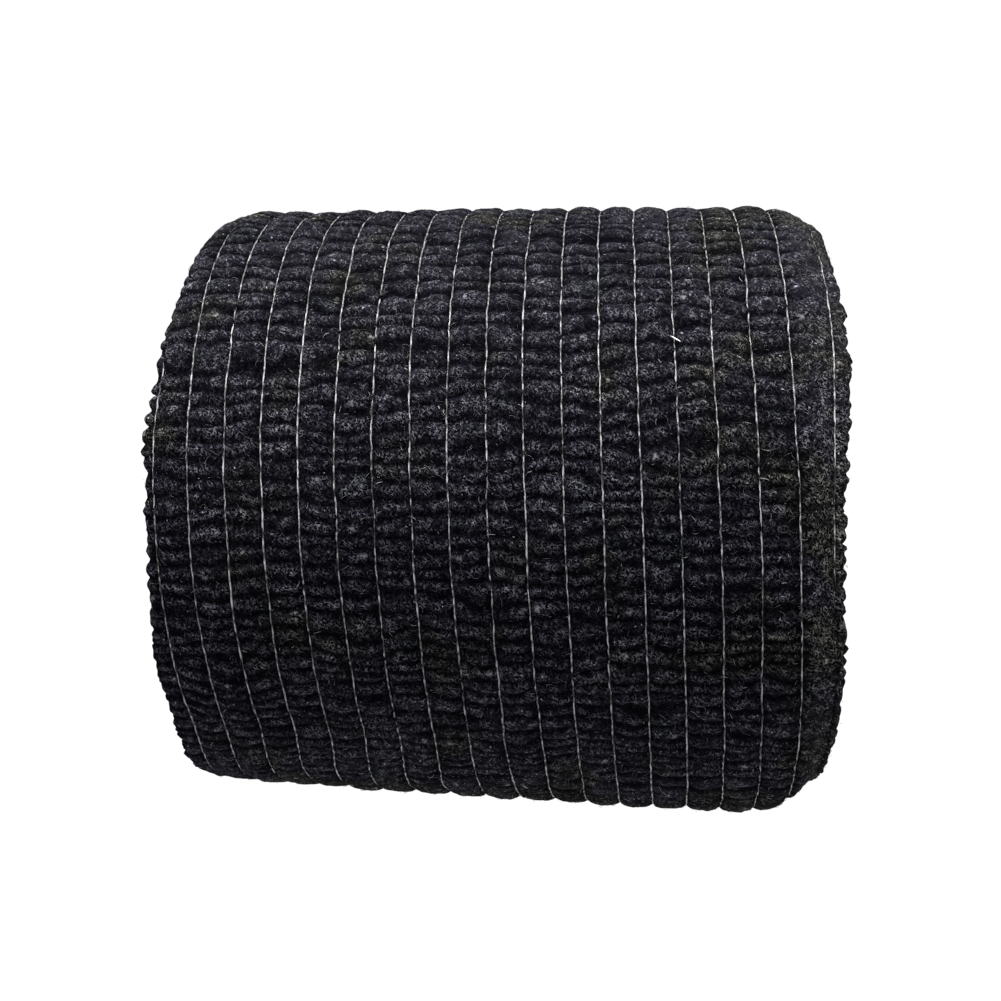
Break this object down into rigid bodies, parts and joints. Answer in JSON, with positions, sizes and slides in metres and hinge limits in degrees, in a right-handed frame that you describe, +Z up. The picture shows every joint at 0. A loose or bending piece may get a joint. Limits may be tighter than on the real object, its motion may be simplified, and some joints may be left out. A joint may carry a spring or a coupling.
{
  "type": "grip tape roll",
  "caption": "Roll of black self-adherent crinkled elastic grip tape with elastic threads along it, wound on a paper core, with a free end that peels.",
  "frame": {"origin": "on the core's axis, at the middle of the tape's width", "axes": "+X along the core's bore, +Y to the back, where the free end lies, +Z up, with the roll lying on its side"},
  "size_m": [0.05, 0.05, 0.0492],
  "materials": {
    "crepe_outer": "matte crinkled nonwoven with loose fibres",
    "crepe_inner": "matte crinkled nonwoven with loose fibres",
    "elastic_thread": "matte light grey",
    "core_paper": "matte spiral-wound paper"
  },
  "bodies": {
    "roll": {"core_tube": "core_paper", "wound_inner_ply": "crepe_inner", "wound_outer_ply": "crepe_outer", "elastic_thread_01": "elastic_thread", "elastic_thread_02": "elastic_thread", "elastic_thread_03": "elastic_thread", "elastic_thread_04": "elastic_thread", "elastic_thread_05": "elastic_thread", "elastic_thread_06": "elastic_thread", "elastic_thread_07": "elastic_thread", "elastic_thread_08": "elastic_thread", "elastic_thread_09": "elastic_thread", "elastic_thread_10": "elastic_thread", "elastic_thread_11": "elastic_thread", "elastic_thread_12": "elastic_thread", "elastic_thread_13": "elastic_thread", "elastic_thread_14": "elastic_thread", "elastic_thread_15": "elastic_thread", "elastic_thread_16": "elastic_thread", "elastic_thread_17": "elastic_thread", "elastic_thread_18": "elastic_thread", "elastic_thread_19": "elastic_thread"},
    "free_end_1": {"free_end_1_inner_ply": "crepe_inner", "free_end_1_outer_ply": "crepe_outer", "free_end_1_threads": "elastic_thread"},
    "free_end_2": {"free_end_2_inner_ply": "crepe_inner", "free_end_2_outer_ply": "crepe_outer", "free_end_2_threads": "elastic_thread"},
    "free_end_3": {"free_end_3_inner_ply": "crepe_inner", "free_end_3_outer_ply": "crepe_outer", "free_end_3_threads": "elastic_thread"}
  },
  "joints": [
    {"name": "free_end_peel", "type": "hinge", "parent": "roll", "child": "free_end_1", "pos_m": [0, 0.00648, 0.02419], "axis": [1, 0, 0], "range_deg": [0, 40]},
    {"name": "free_end_bend_2", "type": "hinge", "parent": "free_end_1", "child": "free_end_2", "pos_m": [0, 0.01576, 0.01946], "axis": [1, 0, 0], "range_deg": [0, 40]},
    {"name": "free_end_bend_3", "type": "hinge", "parent": "free_end_2", "child": "free_end_3", "pos_m": [0, 0.02231, 0.01137], "axis": [1, 0, 0], "range_deg": [0, 40]}
  ],
  "couplings": [
    {"joint": "free_end_bend_2", "follows": "free_end_peel", "ratio": 1},
    {"joint": "free_end_bend_3", "follows": "free_end_peel", "ratio": 1}
  ]
}
